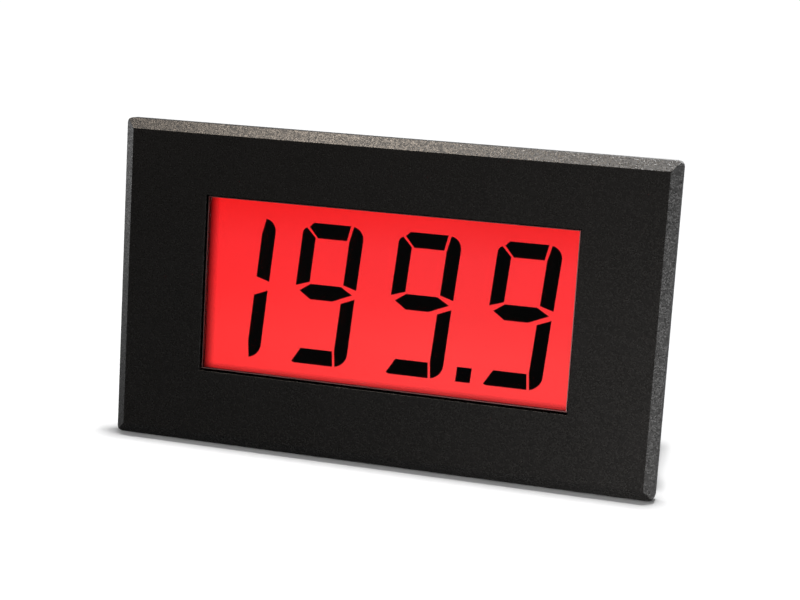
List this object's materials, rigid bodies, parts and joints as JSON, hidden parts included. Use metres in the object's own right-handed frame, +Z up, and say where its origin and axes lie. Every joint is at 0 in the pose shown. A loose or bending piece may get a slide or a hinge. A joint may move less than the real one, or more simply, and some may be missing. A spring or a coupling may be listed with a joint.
{
  "type": "digital panel meter",
  "caption": "Rectangular panel meter with a red backlit liquid crystal display in a chamfered black bezel, pluggable rear screw terminals and sliding panel clips.",
  "frame": {"origin": "middle of the bezel's rear face, on the panel", "axes": "+X to the right seen from the front, +Y into the panel, +Z up"},
  "size_m": [0.07, 0.0317, 0.0406],
  "materials": {
    "black_housing": "fine spark-eroded black moulding",
    "clear_window": "clear polished plastic window",
    "polariser": "neutral polarising film",
    "display_glass": "thin clear glass",
    "segments": "dark display segments",
    "edge_seal": "cured epoxy seal",
    "backlight": "red lit diffuser",
    "light_guide": "clear acrylic light guide",
    "white_film": "white reflector film",
    "lamp_body": "white lamp moulding",
    "elastomer": "layered silicone elastomer",
    "white_frame": "white moulded frame",
    "green_board": "solder-masked glass laminate",
    "chip_black": "moulded epoxy package",
    "red_capacitor": "box film capacitor case",
    "yellow_capacitor": "moulded tantalum capacitor",
    "resistor_black": "chip resistor body",
    "trimmer_blue": "blue trimmer case",
    "trimmer_white": "moulded rotor",
    "terminal_green": "green terminal moulding",
    "tin_plate": "tin-plated contact metal",
    "zinc_screw": "zinc-plated steel screw",
    "black_clip": "black moulded clip"
  },
  "bodies": {
    "meter": {"front_bezel": "black_housing", "window_lens": "clear_window", "front_polariser": "polariser", "lcd_front_glass": "display_glass", "lcd_segments": "segments", "lcd_edge_seal": "edge_seal", "lcd_rear_glass": "display_glass", "rear_polariser": "polariser", "diffuser_film": "backlight", "light_guide": "light_guide", "reflector_film": "white_film", "backlight_leds": "lamp_body", "contact_strips": "elastomer", "display_frame": "white_frame", "circuit_board": "green_board", "converter_chip": "chip_black", "regulator_chip": "chip_black", "film_capacitors": "red_capacitor", "tantalum_capacitors": "yellow_capacitor", "chip_resistors": "resistor_black", "trimmer_body": "trimmer_blue", "terminal_header": "terminal_green", "header_pins": "tin_plate", "terminal_plug": "terminal_green", "plug_contacts": "tin_plate", "rear_cover": "black_housing", "cover_screws": "zinc_screw"},
    "trimmer_rotor": {"trimmer_rotor": "trimmer_white"},
    "wire_clamp_1": {"wire_clamp_1": "tin_plate"},
    "wire_clamp_2": {"wire_clamp_2": "tin_plate"},
    "wire_clamp_3": {"wire_clamp_3": "tin_plate"},
    "wire_clamp_4": {"wire_clamp_4": "tin_plate"},
    "wire_clamp_5": {"wire_clamp_5": "tin_plate"},
    "terminal_screw_1": {"terminal_screw_1": "zinc_screw"},
    "terminal_screw_2": {"terminal_screw_2": "zinc_screw"},
    "terminal_screw_3": {"terminal_screw_3": "zinc_screw"},
    "terminal_screw_4": {"terminal_screw_4": "zinc_screw"},
    "terminal_screw_5": {"terminal_screw_5": "zinc_screw"},
    "left_panel_clip": {"left_panel_clip": "black_clip"},
    "right_panel_clip": {"right_panel_clip": "black_clip"}
  },
  "joints": [
    {"name": "trimmer_turn", "type": "hinge", "parent": "meter", "child": "trimmer_rotor", "pos_m": [0.019, 0.014, 0.005], "axis": [0, 1, 0], "range_deg": [-130, 130]},
    {"name": "left_clip_slide", "type": "slide", "parent": "meter", "child": "left_panel_clip", "axis": [0, 1, 0], "range_m": [-0.0017, 0.0035]},
    {"name": "right_clip_slide", "type": "slide", "parent": "meter", "child": "right_panel_clip", "axis": [0, 1, 0], "range_m": [-0.0017, 0.0035]},
    {"name": "screw_1_turn", "type": "hinge", "parent": "meter", "child": "terminal_screw_1", "pos_m": [-0.01716, 0.0239, -0.003], "axis": [0, 0, 1], "range_deg": [-1710, 0]},
    {"name": "clamp_1_rise", "type": "slide", "parent": "meter", "child": "wire_clamp_1", "axis": [0, 0, 1], "range_m": [0, 0.00237]},
    {"name": "screw_2_turn", "type": "hinge", "parent": "meter", "child": "terminal_screw_2", "pos_m": [-0.01208, 0.0239, -0.003], "axis": [0, 0, 1], "range_deg": [-1710, 0]},
    {"name": "clamp_2_rise", "type": "slide", "parent": "meter", "child": "wire_clamp_2", "axis": [0, 0, 1], "range_m": [0, 0.00237]},
    {"name": "screw_3_turn", "type": "hinge", "parent": "meter", "child": "terminal_screw_3", "pos_m": [-0.007, 0.0239, -0.003], "axis": [0, 0, 1], "range_deg": [-1710, 0]},
    {"name": "clamp_3_rise", "type": "slide", "parent": "meter", "child": "wire_clamp_3", "axis": [0, 0, 1], "range_m": [0, 0.00237]},
    {"name": "screw_4_turn", "type": "hinge", "parent": "meter", "child": "terminal_screw_4", "pos_m": [-0.00192, 0.0239, -0.003], "axis": [0, 0, 1], "range_deg": [-1710, 0]},
    {"name": "clamp_4_rise", "type": "slide", "parent": "meter", "child": "wire_clamp_4", "axis": [0, 0, 1], "range_m": [0, 0.00237]},
    {"name": "screw_5_turn", "type": "hinge", "parent": "meter", "child": "terminal_screw_5", "pos_m": [0.00316, 0.0239, -0.003], "axis": [0, 0, 1], "range_deg": [-1710, 0]},
    {"name": "clamp_5_rise", "type": "slide", "parent": "meter", "child": "wire_clamp_5", "axis": [0, 0, 1], "range_m": [0, 0.00237]}
  ],
  "couplings": [
    {"joint": "screw_1_turn", "follows": "clamp_1_rise", "rad_per_m": -12566},
    {"joint": "screw_2_turn", "follows": "clamp_2_rise", "rad_per_m": -12566},
    {"joint": "screw_3_turn", "follows": "clamp_3_rise", "rad_per_m": -12566},
    {"joint": "screw_4_turn", "follows": "clamp_4_rise", "rad_per_m": -12566},
    {"joint": "screw_5_turn", "follows": "clamp_5_rise", "rad_per_m": -12566}
  ]
}
